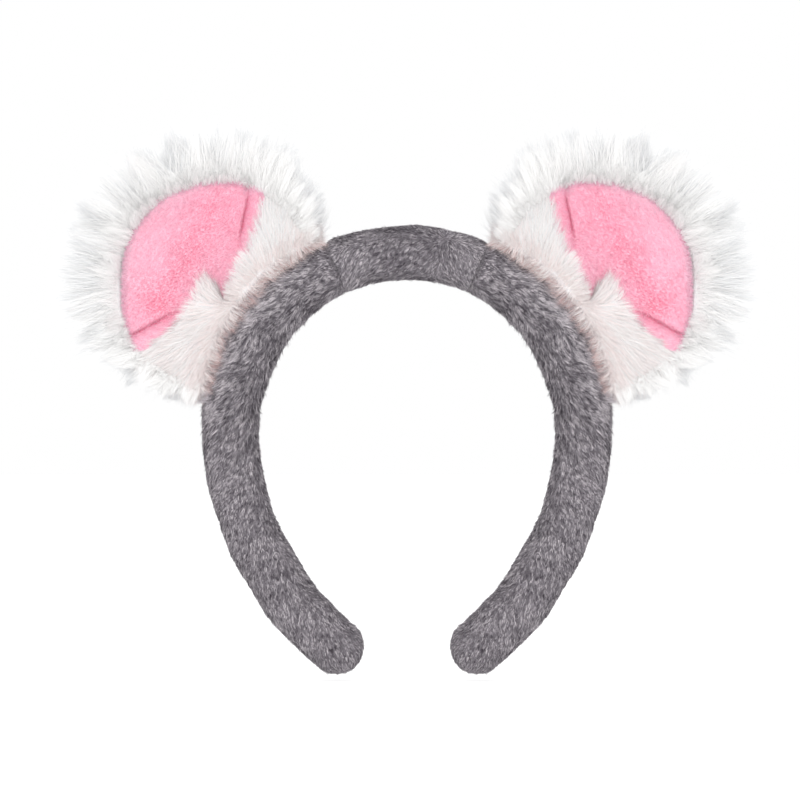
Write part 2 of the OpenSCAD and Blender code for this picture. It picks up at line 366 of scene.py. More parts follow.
def stations(start, tip, t, pitch=1.2):
    """Angles along the tube, distances past the leg's end, and the section's size there."""
    n = int((HEAD_ARC - start) * MID_R / pitch) + int((LEG_END - HEAD_ARC) * LEG_MID_R / pitch)
    a = np.linspace(start, LEG_END, n)
    ext = np.zeros(n)
    if tip:
        steps = 11
        past = np.sin(np.linspace(0, math.pi / 2, steps + 1)[1:]) * 0.995
        a = np.concatenate([a, np.full(steps, LEG_END)])
        ext = np.concatenate([ext, past * t / 2])
    full = np.sqrt(1 - (2 * ext / t) ** 2)
    return a, ext, full


def pinch(a):
    """How full the cover is along the hoop: it is drawn in at the cross seams."""
    return 1 - SEAM_PINCH * np.exp(-((np.abs(a) - CROWN) / SEAM_PINCH_WIDTH) ** 2)


def slimmer(a):
    """How much lower the cover's outside is: on the crown, fading out below the ears."""
    return CROWN_SLIM * (1 - step(np.abs(a), CROWN, EAR))


def tube(a, ext, full, t, w, around=64, power=2.5, soft=0.0, seed=0, cover=False):
    """A tube of rounded section along the hoop, closed at both ends: t thick and w wide, with
    squarer corners for a higher power. The cover is shaped, and softened by lumps."""
    phi = np.linspace(0, 2 * math.pi, around, endpoint=False)
    c, s = np.cos(phi), np.sin(phi)
    rho = np.sign(c) * np.abs(c) ** (2 / power) * t / 2
    rho = np.repeat(rho[None], len(a), 0)
    if cover:
        rho = np.where(rho < 0, rho * FULLER, rho * (1 - slimmer(a)[:, None] * 2 / t))
    y = np.sign(s) * np.abs(s) ** (2 / power) * w / 2
    size = pinch(a) if cover else np.ones(len(a))
    centre, n = spine(a)
    along = np.stack([n[:, 1], -n[:, 0]], -1)
    p = (centre + along * ext[:, None])[:, None] + n[:, None] * (
        rho[:, :, None] * (full * size)[:, None, None])
    wide = (full ** 0.8 * size)[:, None] * y[None]
    verts = np.stack([p[..., 0], -wide, p[..., 1]], -1).reshape(-1, 3)
    tris = grid_tris(len(a), around, True)
    if soft:
        nrm = normals_of(verts, tris)
        puff = soft * lumps(verts, 13, seed) + 0.5 * soft * lumps(verts, 5, seed + 1)
        verts = verts + nrm * puff[:, None]
    return capped(verts, tris, around)


def bend(piece, name):
    """Bakes the piece's placement into its points."""
    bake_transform(piece)


def nap_comb(p, n):
    """Which way the grey pile lies: down and outwards on the legs, and inwards on the crown."""
    a = np.arctan2(p[:, 0], p[:, 2])
    way = np.tanh((a - CROWN_PARTING) / 0.06)[:, None]
    along = np.stack([np.cos(a), np.zeros(len(a)), -np.sin(a)], -1) * way
    out = np.stack([np.sin(a), np.zeros(len(a)), np.cos(a)], -1)
    inner = 1 - 0.9 * step(np.hypot(p[:, 0], p[:, 2]), OUT_R - 8, OUT_R - 3)
    slant = np.where(np.abs(a) < CROWN, (-0.6 - 0.6 * step(np.abs(a), 0.15, 0.35)) * inner,
                     0.25 + 0.7 * step(np.abs(a), EAR, HEAD_ARC))
    comb = along + out * (slant + 0.35 * lumps(p, 14, 5))[:, None]
    comb = comb + np.array([0, 0.4, 0]) * lumps(p, 10, 6)[:, None]
    comb = comb - n * (comb * n).sum(1)[:, None]
    ear_end = EAR + EAR_HALF
    near_ear = step(np.abs(a), CROWN, EAR - 0.2) * (1 - step(np.abs(a), ear_end, ear_end + 0.5))
    return unit(comb), near_ear


def heather(p, comb, seed):
    """How light the pile is: streaks along the nap, blotches, and single hairs."""
    rng = np.random.default_rng(seed)
    drawn_out = p - comb * (p * comb).sum(1)[:, None] * 0.6
    light = (0.85 * lumps(drawn_out, 0.9, 1, 24) + 0.28 * lumps(drawn_out, 2.6, 2)
             + 0.15 * lumps(p, 9, 3) + 0.6 * rng.normal(size=len(p)) + 0.06)
    a, r = np.arctan2(np.abs(p[:, 0]), p[:, 2]), np.hypot(p[:, 0], p[:, 2])
    by_ear = step(a, FLEX_END - 0.2, FLEX_END) * (1 - step(a, EAR + EAR_HALF, EAR + EAR_HALF + 0.2))
    by_seam = (a < CROWN) * (step(a, 0.15, 0.33) - 0.35)
    by_ear = by_ear * step(r, MID_R - 4, OUT_R - 2)
    return light * np.where(a < CROWN, 0.9, 1) + 0.4 * by_seam + 0.9 * by_ear


def lip_place(p):
    """The cover's shoulders beside an ear's base."""
    a, r = np.arctan2(p[:, 0], p[:, 2]), np.hypot(p[:, 0], p[:, 2])
    return (r > OUT_R - 3.5) & (np.abs(p[:, 1]) > 3.5) & (a > FLEX_END) & (a < EAR + EAR_HALF + 0.05)


def everywhere(p):
    """The same weight at every point."""
    return np.ones(len(p))


def grey_pile(name, verts, tris, count, side, seed, where=everywhere, lip=False):
    """Short heathered pile on a stretch of the cover, longer at the lip by an ear's base."""
    rng = np.random.default_rng(seed)
    p, n = scatter(verts, tris, count, where, rng)
    comb, near_ear = nap_comb(p, n)
    length = rng.uniform(1.3, 2.3, count) * (1 + 1.1 * near_ear * rng.random(count))
    if lip:
        length = rng.uniform(2.5, 6.0, count)
        comb = unit(0.5 * comb + 0.9 * unit(p * (1, 0, 1)) + np.sign(p[:, 1:2]) * np.array([0, 0.55, 0]))
    width = rng.uniform(0.15, 0.27, count) * (0.6 if lip else 1)
    v, t, each = hairs(p, n, comb, length, width, rng, levels=2, rise=0.6, wild=0.3, bend=0.3,
                       clumps=((count // 9, 0.7),), broad=0.4)
    tint = np.clip(np.round(2 + lip + 1.25 * heather(p, comb, seed)), 0, len(GREY_HAIRS) - 1)
    return mesh(name, v, t, GREY_HAIRS, side, np.repeat(tint, each), smooth=False)


def crown_cover():
    """The cover of the crown, from one cross seam to the other."""
    n = 52
    skin = tube(np.linspace(-CROWN, CROWN, n), np.zeros(n), np.ones(n), CLOTH_T, CLOTH_W,
                soft=0.25, seed=11, cover=True)
    made = mesh("crown_plush", *skin, [GREY_CLOTH])
    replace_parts(made, "crown_cover")
    pile = grey_pile("crown_pile", *skin, 52000, 1, 21)
    for o in (made, pile):
        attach(o, "crown")


def leg_cover(name):
    """The cover of a leg, from its cross seam to its round tip."""
    side = SIDES[name]
    skin = tube(*stations(CROWN, True, CLOTH_T), CLOTH_T, CLOTH_W, soft=0.3, seed=12, cover=True)
    made = mesh(f"{name}_leg_plush", *skin, [GREY_CLOTH], side)
    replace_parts(made, f"{name}_leg_cover")
    bend(made, name)

    def angle(p):
        return np.arctan2(p[:, 0], p[:, 2])

    split, half_way = FLEX_END + 0.03, HEAD_ARC - math.radians(4)
    top = grey_pile(f"{name}_leg_pile_top", *skin, 24000, side, 22, lambda p: angle(p) < split)
    bend(top, name)
    mid = grey_pile(f"{name}_leg_pile_mid", *skin, 55000, side, 23,
                    lambda p: (angle(p) >= split) & (angle(p) < half_way))
    low = grey_pile(f"{name}_leg_pile_low", *skin, 62000, side, 24, lambda p: angle(p) >= half_way)
    lip = grey_pile(f"{name}_leg_lip_pile", *skin, 9000, side, 25, lip_place, lip=True)
    for o in (mid, low, lip):
        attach(o, f"{name}_leg")


def hoop_layers(name):
    """The foam sleeve and the springy hoop in it, as a half on each side."""
    side = SIDES[name]
    t, w = TUBE_T - 2 * FOAM_IN, TUBE_W - 2 * FOAM_IN
    foam_out = tube(*stations(0, True, t), t, w, around=40, soft=0.1, seed=13)
    at = stations(0, False, HOOP_T)
    slot = tube(*at, HOOP_T + 0.4, HOOP_W + 0.4, around=24, power=4)
    foam = mesh(f"{name}_foam", *joined(foam_out, (slot[0], slot[1][:, ::-1])), [FOAM], side)
    core = mesh(f"{name}_hoop_half", *tube(*at, HOOP_T, HOOP_W, around=24, power=5), [PLASTIC], side)
    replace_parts(foam, "band_foam")
    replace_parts(core, "band_core")
    for o in (foam, core):
        bend(o, name)


# ---------------------------------------------------------------- ears

# An ear's own axes: u away from the hoop, v along it towards the crown, w to the front
U_AXIS = np.array([math.sin(EAR), 0, math.cos(EAR)])
V_AXIS = np.array([-math.cos(EAR), 0, math.sin(EAR)])
W_AXIS = np.array([0.0, -1.0, 0.0])
EAR_U, EAR_V = 14.0, -2.0            # the middle of the ear
# Radius of the front panel's edge at angles about that middle, from u towards v
PANEL_EDGE = ((-180, 41), (-79, 41), (-68, 40.2), (-55, 37.6), (-40, 36.2), (-23, 36.8), (-7, 38.6),
              (10, 39.8), (21, 40.3), (42, 40.1), (68, 41.8), (79, 41.4), (180, 41))
RIM = 4.0                            # how far the fur cloth's edge stands out beyond the panel's
LIP = 7.0                            # how far forward the front panel's edge stands
DISH = 7.5                           # how deep its face is dished
PANEL_THICK = 1.3
FUR_HAIRS = 28000                    # in one piece of long fur
RIM_HAIRS = 32000                    # in the shorter fur close to the front panel's edge
# A point on each crease in the panel, the way to the folded corner from it, and the v at
# which it starts, is deepest and ends
CREASES = (((24.1, 33.1), (-0.897, 0.443), (15, 23, 31, 37)),
           ((27.5, -39.4), (-0.92, -0.392), (-15, -30, -45, -60)))
# Upper edge of the folded corners, (v, u); v is slanted where they meet in a leaning tuft
FOLD_EDGE = ((-47, 26), (-42, 22.8), (-35.6, 19.2), (-28.4, 16.6), (-20.8, 16.2), (-14.4, 16.2),
             (-11.5, 16.4), (-7, 15.6), (-5.2, 12), (-4.2, 8), (-3, 5.2), (-0.5, 4.2), (3.3, 5.6),
             (7.8, 9), (16, 10.8), (23, 13.2), (29.6, 16.8), (35.8, 20.4), (39.2, 22.2), (43, 25.5))
TUFT_SLANT = 0.6
TUFT = (14.0, -1.0)                  # the middle of the tuft
TUFT_WAY = (0.61, 0.79, 0.0)         # which way it points
# How far the fringe reaches from the ear's middle, at angles from u towards v
FRINGE = ((-180, 49), (-95, 50), (-82, 53), (-68, 57.5), (-53, 62.5), (-38, 70.5), (-25, 69),
          (3, 73.5), (22, 68.5), (30, 57.5), (40, 63.5), (52, 69.5), (74, 68), (89, 61.5),
          (106, 53.5), (120, 48), (180, 48))
FRINGE_END = 68.5                    # and no hair reaches further than this
FRONT_END = 19.0                     # nor further forward than this, as it is combed


def to_frame(p):
    """Points in the right ear's own axes, as points in the frame."""
    return (OUT_R + p[:, :1]) * U_AXIS + p[:, 1:2] * V_AXIS + p[:, 2:] * W_AXIS


def above_hoop(u, v):
    """Height above the cover's outside, which the ear's base follows."""
    return np.hypot(OUT_R + u, v) - OUT_R


def panel_height(u, v):
    """How far forward the pink panel's face stands: a dish, with a crease by each corner."""
    rho = ((u - 28) / np.where(u > 28, 26, 24)) ** 2 + ((v + 2) / 39) ** 2
    w = LIP - DISH * (1 - np.clip(rho, 0, 1.2))
    for (cu, cv), (nu, nv), _ in CREASES:
        d = (u - cu) * nu + (v - cv) * nv
        near = step(v * np.sign(cv), 8, 20)
        w = w + near * 5.0 * (1 - np.exp(-np.clip(d, 0, None) / 2.2))
    return w - 1.9 * crease(u, v)


def crease(u, v):
    """1 on the line of a crease in the panel, and 0 away from it."""
    out = 0
    for (cu, cv), (nu, nv), (v0, v1, v2, v3) in CREASES:
        d = (u - cu) * nu + (v - cv) * nv
        out = out + np.exp(-(d / 0.65) ** 2) * step(v, v0, v1) * (1 - step(v, v2, v3))
    return out


def fold_height(u, v):
    """How far forward the folded corners stand."""
    edge = fold_edge(u, v)
    w = -6 + 18 * step(edge - u, -2.5, 2) - 2.5 * step(edge - u, 8, 22)
    return w - 4 * np.exp(-((u - TUFT[0]) ** 2 + (v - TUFT[1]) ** 2) / 60)


def keel(u, v):
    """The most that the ear's cloth may stand forward or back of its middle plane."""
    return 6.5 + 1.9 * np.clip(above_hoop(u, v), 0, None)


def panel_edge(phi):
    """The front panel's radius about the ear's middle."""
    deg = np.degrees((phi + math.pi) % (2 * math.pi) - math.pi)
    around = np.stack([np.interp(deg + d, *zip(*PANEL_EDGE)) for d in (-8, -4, 0, 4, 8)])
    return np.average(around, axis=0, weights=(1, 2, 3, 2, 1))


def ear_outline(phi):
    """The fur cloth's radius about the ear's middle: round, and cut off by the hoop."""
    b = (OUT_R + EAR_U) * np.cos(phi) + EAR_V * np.sin(phi)
    c = (OUT_R + EAR_U) ** 2 + EAR_V ** 2 - (OUT_R - 0.2) ** 2
    root = np.where((b < 0) & (b * b > c), -b - np.sqrt(np.clip(b * b - c, 0, None)), 200)
    return -np.log(np.exp(-0.4 * (panel_edge(phi) + RIM)) + np.exp(-0.4 * root)) / 0.4


def beyond_panel(u, v):
    """How far outside the front panel's edge a point lies."""
    return np.hypot(u - EAR_U, v - EAR_V) - panel_edge(np.arctan2(v - EAR_V, u - EAR_U))


def fold_edge(u, v):
    """Height in u of the folded corners' upper edge at a point."""
    return np.interp(v - TUFT_SLANT * (u - 7.5) * np.exp(-(v / 12) ** 2), *zip(*FOLD_EDGE))


def ear_skin():
    """The fur's backing cloth: one closed form, its base corners folded forward."""
    around = 180
    phi = np.linspace(0, 2 * math.pi, around, endpoint=False)
    # share of the outline's radius, and height; the front's height follows the panel and the folds
    front = [(r, None) for r in np.linspace(0.02, 0.92, 34)]
    back = [(0.945, 5.6), (0.975, 5.0), (0.995, 3.6), (1.0, 1.5), (0.995, -1),
            (0.97, -4.5), (0.93, -7.5), (0.86, -10.5), (0.76, -13.3), (0.64, -15.6),
            (0.5, -17.3), (0.34, -18.4), (0.18, -19), (0.02, -19.2)]
    rows = []
    for r, w in front + back:
        u = EAR_U + r * ear_outline(phi) * np.cos(phi)
        v = EAR_V + r * ear_outline(phi) * np.sin(phi)
        k = keel(u, v)
        if w is None:
            w = np.minimum(np.maximum(panel_height(u, v) - 2.6, fold_height(u, v)), k)
        rows.append(np.stack([u, v, np.clip(w, -k, k)], -1))
    tris = grid_tris(len(rows), around, True)
    verts, tris = capped(np.concatenate(rows), tris, around, outside_in=True)
    soft = normals_of(verts, tris) * (0.5 * lumps(verts, 14, 31))[:, None]
    return verts + soft, tris


def ear_panel():
    """The pink front panel, a closed sheet that is rounded over at its edge."""
    rows, cols = 60, 110
    phi = np.linspace(-math.radians(102), math.radians(102), cols)[None]
    t = np.linspace(0, 1, rows)[:, None]
    top_u, top_v = EAR_U + panel_edge(phi) * np.cos(phi), EAR_V + panel_edge(phi) * np.sin(phi)
    low_v = top_v * 0.97
    low_u = np.minimum(np.interp(low_v, *zip(*FOLD_EDGE)) - 5, top_u - 1)
    t = 1 - (1 - t) ** 1.4
    u, v = low_u + (top_u - low_u) * t, low_v + (top_v - low_v) * t
    under = step(fold_edge(u, v) - u, 0, 3)
    w = np.minimum(panel_height(u, v), 30 - (30 - fold_height(u, v) + 2) * under)
    w = np.minimum(w, keel(u, v) - 1) - 1.5 * np.exp(-np.hypot(top_u - u, top_v - v) / 1.1)
    w = w + 0.35 * lumps(np.stack([u, v, 0 * u], -1).reshape(-1, 3), 11, 33).reshape(u.shape)
    front = np.stack([u, v, w], -1).reshape(-1, 3)
    back = front - [0, 0, PANEL_THICK]
    tri = grid_tris(rows, cols, False)
    n = rows * cols
    ring = np.concatenate([np.arange(cols), np.arange(1, rows) * cols + cols - 1,
                           (rows - 1) * cols + np.arange(cols - 2, -1, -1),
                           np.arange(rows - 2, 0, -1) * cols])
    nxt = np.roll(ring, -1)
    wall = np.concatenate([np.stack([ring, nxt, nxt + n], 1), np.stack([ring, nxt + n, ring + n], 1)])
    return np.concatenate([front, back]), np.concatenate([tri[:, ::-1], tri + n, wall])


def ear_batting():
    """The loose pad between the two panels."""
    around, rows = 96, 24
    phi = np.linspace(0, 2 * math.pi, around, endpoint=False)
    out = []
    for t in np.linspace(0.02, math.pi - 0.02, rows):
        r = math.sin(t) ** 0.8 * 0.86
        u = EAR_U + r * ear_outline(phi) * np.cos(phi)
        v = EAR_V + r * ear_outline(phi) * np.sin(phi)
        face = panel_height(u, v) - 3.2
        w = np.where(t < math.pi / 2, face, face + (-16.5 * math.cos(t) ** 2 - face) * abs(math.cos(t)))
        k = 0.7 * keel(u, v)
        out.append(np.stack([u, v, np.clip(w, -k, k)], -1))
    return capped(np.concatenate(out), grid_tris(rows, around, True), around, outside_in=True)


def radial(p, u0, v0):
    """The way straight out from (u0, v0) at each point, in the ear's plane."""
    d = np.stack([p[:, 0] - u0, p[:, 1] - v0, np.zeros(len(p))], -1)
    return unit(d)


def ruffled(comb, p, size, amount, seed):
    """The combing direction, with neighbouring tufts leaning different ways."""
    lean = np.stack([lumps(p, size, seed + k) for k in range(3)], 1)
    return unit(comb + amount * lean)


def fur(skin, part, seed):
    """Long spiky fur: on the back, or round the ear's edge and its base."""
    rng = np.random.default_rng(seed)

    def where(p):
        out = beyond_panel(p[:, 0], p[:, 1])
        back = p[:, 2] < panel_height(p[:, 0], p[:, 1]) - 5
        edge = (out > -1.5) & (p[:, 2] > -9)
        rim = (out > -1.6) & (out < 3.4) & (p[:, 2] > 2)
        chosen = {"back": back & ~edge, "edge": edge, "rim": rim}[part]
        return chosen * step(above_hoop(p[:, 0], p[:, 1]), 0.8, 4)

    count = RIM_HAIRS if part == "rim" else FUR_HAIRS
    p, n = scatter(*skin, count, where, rng)
    comb = radial(p, EAR_U - 6, EAR_V)
    comb[:, 2] += {"back": -0.15, "edge": 0.05, "rim": 0.5}[part]
    comb = ruffled(comb, p, 7, 0.24, seed + 5)
    near_base = 1 - step(above_hoop(p[:, 0], p[:, 1]), 2, 18)
    du, dv = p[:, 0] - EAR_U, p[:, 1] - EAR_V
    reach = np.interp(np.degrees(np.arctan2(dv, du)), *zip(*FRINGE)) - np.hypot(du, dv)
    if part == "back":
        length = rng.uniform(12, 20, count) * (1 - 0.5 * near_base) * (1 + 0.25 * lumps(p, 5, seed + 1))
        length = np.minimum(length, np.clip(reach, 4, None))
    else:
        length = np.clip(reach, 4, 36) * (rng.uniform(0.4, 1.35, count) + 0.32 * lumps(p, 5, seed + 1))
    length = np.clip(length, 2, FRINGE_END - np.hypot(du, dv))
    if part == "rim":
        under = 1 - step(beyond_panel(p[:, 0], p[:, 1]), -0.3, 1.2)[:, None]
        comb = unit(comb * (1 - 0.45 * under) + under * np.array([0, 0, 0.65]))
        length *= rng.uniform(0.22, 0.6, count)
    room = np.clip(FRONT_END - p[:, 2], 2, None)
    length = np.minimum(length, room / np.clip(comb[:, 2] + 0.3, 0.1, None))
    width = rng.uniform(0.08, 0.18, count)
    v, t, each = hairs(p, n, comb, length, width, rng, levels=3 if part == "rim" else 4, rise=0.45,
                       wild=0.22, bend=0.3, stray=0.2, clumps=((count // 60, 0.72), (count // 300, 0.55)),
                       broad=0.3, facing=unit(n * 0.4 + np.array([0, 0, 1.0]) * np.sign(p[:, 2:] + 4)))
    # tint 6 glows most: on the rim and by the panel's edge it is a painted glow that lifts the shade among
    # the roots
    if part == "rim":
        tint = rng.choice([1, 6], count, p=[0.15, 0.85])
    else:
        at_panel = step(beyond_panel(p[:, 0], p[:, 1]), 2.5, 0.5) * (p[:, 2] > 1)
        shares = [0.6, 0.25, 0.15] if part == "edge" else [0.3, 0.4, 0.3]
        tint = np.where(rng.random(count) < at_panel, 6, rng.choice(3, count, p=shares))
    return v, t, np.repeat(tint, each)


def in_tuft(p):
    """1 in the tuft where the folded corners meet, and 0 away from it."""
    return np.exp(-((p[:, 0] - TUFT[0]) ** 2 + (p[:, 1] - TUFT[1]) ** 2) / 30)


def fold_comb(p):
    """Fur on the folded corners fans out from the base, away from the tuft where they meet."""
    low = (p[:, 1] - TUFT_SLANT * (p[:, 0] - 7.5) < -2)[:, None]
    tuft = low * in_tuft(p)[:, None]
    return unit(np.where(low, radial(p, -4, 4), radial(p, -16, 6)) + 3 * tuft * np.array(TUFT_WAY))


def fold_fur(skin):
    """Silky fur on the folded corners, with fine ends over the pink."""
    rng = np.random.default_rng(43)

    def where(p):
        out = fold_edge(p[:, 0], p[:, 1])
        return (p[:, 2] > 0.5) & (p[:, 0] < out - 0.5 + 2.2 * in_tuft(p))

    count = FUR_HAIRS
    p, n = scatter(*skin, count, where, rng)
    edge = fold_edge(p[:, 0], p[:, 1]) - p[:, 0]
    comb = ruffled(fold_comb(p), p, 6, 0.16 + 0.16 * (edge < 4)[:, None], 61)
    length = rng.uniform(7, 12, count) * (0.62 + 0.38 * step(edge, 0, 8)) * rng.uniform(0.4, 1.3, count)
    length *= (1 + 0.4 * in_tuft(p)) * (1 - 0.6 * step(beyond_panel(p[:, 0], p[:, 1]), -8, 0))
    length = np.minimum(length, np.clip(FRONT_END - p[:, 2], 2, None) / 0.5)
    width = rng.uniform(0.08, 0.16, count) * (0.7 + 0.3 * step(edge, 1, 5))
    v, t, each = hairs(p, n, comb, length, width, rng, rise=0.3, wild=0.18, bend=0.22, stray=0.35,
                       clumps=((count // 40, 0.6), (count // 220, 0.4)), broad=0.3)
    low_down = 1 - step(above_hoop(p[:, 0], p[:, 1]), 1, 12)
    # rosy hairs, more on the lower side and near the base, are painted pink light reflected from the panel
    pink_bounce_share = 0.12 + 0.28 * (p[:, 1] < 0) + 0.35 * low_down
    tint = np.where(rng.random(count) < pink_bounce_share, 3, rng.choice(3, count, p=[0.15, 0.45, 0.4]))
    return v, t, np.repeat(tint, each)


def base_fur(skin):
    """Fur that fills the join between an ear and the hoop; the dusty pink hairs at its roots are a painted
    shadow line along the join.
    """
    rng = np.random.default_rng(49)
    count = 26000
    p, n = scatter(*skin, count, lambda q: above_hoop(q[:, 0], q[:, 1]) < 5, rng)
    above = above_hoop(p[:, 0], p[:, 1])
    root = (above < 1.6) & (rng.random(count) < 0.4 - 0.22 * step(p[:, 1], 2, 14))
    front = np.sign(p[:, 2:]) * np.array([0, 0, 1.0])
    drape = (rng.random(count) < 0.5 - 0.5 * step(above, 1, 5))[:, None]
    drape = drape | root[:, None]
    comb = np.where(drape, 0.5 * front + (-0.8, 0, 0), fold_comb(p) + 0.5 * front)
    n = np.where(drape, front, n)
    comb = ruffled(comb, p, 4, 0.25, 67)
    length = np.where(root, rng.uniform(6, 9, count), rng.uniform(4, 7, count))
    width = rng.uniform(0.07, 0.14, count)
    v, t, each = hairs(p, n, unit(comb), length, width, rng, levels=3, rise=0.35, wild=0.2, bend=0.25,
                       clumps=((count // 20, 0.3),), broad=0.3)
    # dusty pinks at the roots paint the shadow line along the join; rosy among the rest paints pink light
    # reflected from the panel
    tint = np.where(root, rng.choice([4, 5], count), rng.choice([2, 3, 3], count))
    return v, t, np.repeat(tint, each)


def pink_pile(panel):
    """Fine short pile of the pink panel."""
    rng = np.random.default_rng(45)

    def where(p):
        return (p[:, 0] > fold_edge(p[:, 0], p[:, 1]) - 2) * (1 + (beyond_panel(p[:, 0], p[:, 1]) > -2))

    verts, tris = panel
    tris = tris[:len(tris) // 2]
    count = 45000
    p, n = scatter(verts, tris, count, where, rng)
    n = n * np.sign(n[:, 2:])
    at_edge = step(beyond_panel(p[:, 0], p[:, 1]), -4, -0.5)[:, None]
    comb = ruffled(radial(p, EAR_U, EAR_V) * at_edge * 1.5 + (0.3, -0.8, 0.0), p, 9, 0.2, 46)
    length = rng.uniform(0.6, 1.1, count) * (1 + 0.8 * at_edge[:, 0])
    width = rng.uniform(0.1, 0.18, count)
    v, t, each = hairs(p, n, comb, length, width, rng, levels=2, rise=0.9, wild=0.25, bend=0.15,
                       clumps=((count // 8, 0.3),))
    # painted shade: deeper pink along the hollow, in its lower end and in the creases; painted highlight:
    # paler further out and at the edge
    hollow = np.abs(p[:, 0] - np.interp(p[:, 1], (-27, -3, 29), (26, 28.5, 35)))
    low_end = np.hypot(p[:, 0] - 26.5, p[:, 1] + 21)
    shade = 0.9 * step(p[:, 0], 34, 48) - 1.3 * np.exp(-(hollow / 6) ** 2) * step(np.abs(p[:, 1]), 34, 20)
    shade = shade - 1.1 * np.exp(-low_end ** 2 / 45)
    shade = shade - 1.8 * crease(p[:, 0], p[:, 1]) + 1.3 * at_edge[:, 0]
    shade = 2.5 + shade + 0.25 * lumps(p, 2.0, 48) + 0.6 * rng.normal(size=count)
    return v, t, np.repeat(np.clip(np.round(shade), 0, len(PINK_HAIRS) - 1), each)


def flop(piece):
    """Bakes the piece's placement into its points."""
    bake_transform(piece)


STITCH = 3.0                         # length of a stitch
CROSS_STITCH = 2.6                   # and of one at a cross seam
CROSS_SINK = 0.96                    # where that one lies, as a share of the cloth's height
HOOP_THREAD_R, EAR_THREAD_R = 0.3, 0.25


def stitches(ends, radius):
    """Short lengths of thread, each from one point to another and bowed at its ends."""
    parts = []
    sides, rings = 6, 7
    phi = np.linspace(0, 2 * math.pi, sides, endpoint=False)
    fan = np.array([[0, k, k + 1] for k in range(1, sides - 1)])
    caps = np.concatenate([fan[:, [0, 2, 1]], fan + (rings - 1) * sides])
    for a, b, up in ends:
        along = unit(b - a)
        across = np.cross(along, up)
        t = np.linspace(-1, 1, rings)
        sink = -radius * 1.6 * t ** 4
        line = (a + b) / 2 + (b - a) / 2 * t[:, None] + up * sink[:, None]
        r = radius * np.where(np.abs(t) > 0.99, 0.4, 1)
        ring = (line[:, None] + (across * np.cos(phi)[:, None] + up * np.sin(phi)[:, None])[None]
                * r[:, None, None]).reshape(-1, 3)
        parts.append((ring, np.concatenate([grid_tris(rings, sides, True)[:, ::-1], caps])))
    return joined(*parts)


def stitch(mid, along, up):
    """A stitch of the usual length: its two ends and which way is up."""
    return mid - along * STITCH / 2, mid + along * STITCH / 2, up


def hoop_stitch_ends(start, stop, tip):
    """Ends of the stitches along the cover's outer seam."""
    out = []
    r = CLOTH_T / 2 + 0.1
    pitch = 5.0
    for a0, a1, radius in ((start, min(stop, HEAD_ARC), MID_R), (HEAD_ARC, stop, LEG_MID_R)):
        n = int((a1 - a0) * (radius + r) / pitch)
        for i in range(max(n, 0)):
            a = a0 + (i + 0.5) * (a1 - a0) / n
            (c,), (m,) = spine(np.array([a]))
            up = np.array([m[0], 0, m[1]])
            along = np.array([m[1], 0, -m[0]])
            out.append(stitch(np.array([c[0], 0, c[1]]) + up * (r - slimmer(a)), along, up))
    if tip:
        (c,), (m,) = spine(np.array([LEG_END]))
        for a in np.arange(0.25, math.pi, 0.45) + LEG_END:
            up = np.array([math.sin(a), 0, math.cos(a)])
            along = np.array([up[2], 0, -up[0]])
            out.append(stitch(np.array([c[0], 0, c[1]]) + up * r, along, up))
    return out


def hoop_thread(piece, node, body, ends, side=1):
    """Stitches of grey thread in the cover."""
    made = mesh(piece, *stitches(ends, HOOP_THREAD_R), [GREY_THREAD], side)
    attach(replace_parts(made, node), body)


def cross_stitch_ends():
    """Ends of the stitches round the tube at a cross seam, open on the inside."""
    out = []
    away, front = np.array([math.sin(CROWN), 0, math.cos(CROWN)]), np.array([0, -1.0, 0])
    along = np.array([math.cos(CROWN), 0, -math.sin(CROWN)])
    for phi in np.radians(np.arange(-160, 161, 20)):
        up = unit(away * math.cos(phi) + front * math.sin(phi))
        high = CLOTH_T / 2 * CROSS_SINK * math.cos(phi) - CROWN_SLIM * max(math.cos(phi), 0)
        mid = away * (MID_R + high) + front * CLOTH_W / 2 * CROSS_SINK * math.sin(phi)
        out.append((mid - along * CROSS_STITCH / 2, mid + along * CROSS_STITCH / 2, up))
    return out


def seam_threads():
    """The threads of the cover's outer seam and of its two cross seams."""
    margin = 0.03
    hoop_thread("crown_seam_thread", "crown_seam", "crown",
                hoop_stitch_ends(-CROWN + margin, CROWN - margin, False))
    for name, side in SIDES.items():
        hoop_thread(f"{name}_leg_seam_thread", f"{name}_leg_seam", f"{name}_leg",
                    hoop_stitch_ends(EAR + EAR_HALF + margin, LEG_END, True), side)
        hoop_thread(f"{name}_cross_seam_thread", f"{name}_cross_seam", "crown", cross_stitch_ends(), side)


def edge_stitch_ends():
    """Ends of the stitches just behind the front panel's edge."""
    out, up = [], np.array([0, 0, 1.0])
    for phi in np.radians(np.arange(-84, 85, 7)):
        away = np.array([math.cos(phi), math.sin(phi), 0])
        along = np.array([-away[1], away[0], 0])
        mid = np.array([EAR_U, EAR_V, 0]) + away * (float(panel_edge(phi)) - 0.5) + up * (LIP - 3.4)
        out.append(stitch(mid, along, up))
    return out


def fold_stitch_ends():
    """Ends of the stitches that hold the two folded corners together."""
    out, v = [], 1.0
    for u in (4.0, 7.0, 10.0):
        high = fold_height(np.array([u]), np.array([v]))[0] + 0.1
        out.append(stitch(np.array([u, v, high]), np.array([0, 1.0, 0]), np.array([0, 0, 1.0])))
    return out


def base_stitch_ends():
    """Ends of the stitches that hold the ear's base in the cover's seam, front and back."""
    out, r, half_thick = [], OUT_R + 3.2, 4.4
    for face in (-1, 1):
        for a in np.radians(np.arange(-24, 24.5, 3.4)):
            mid = np.array([r * math.cos(a) - OUT_R, r * math.sin(a), face * half_thick])
            along = np.array([-math.sin(a), math.cos(a), 0])
            out.append(stitch(mid, along, np.array([0, 0, float(face)])))
    return out


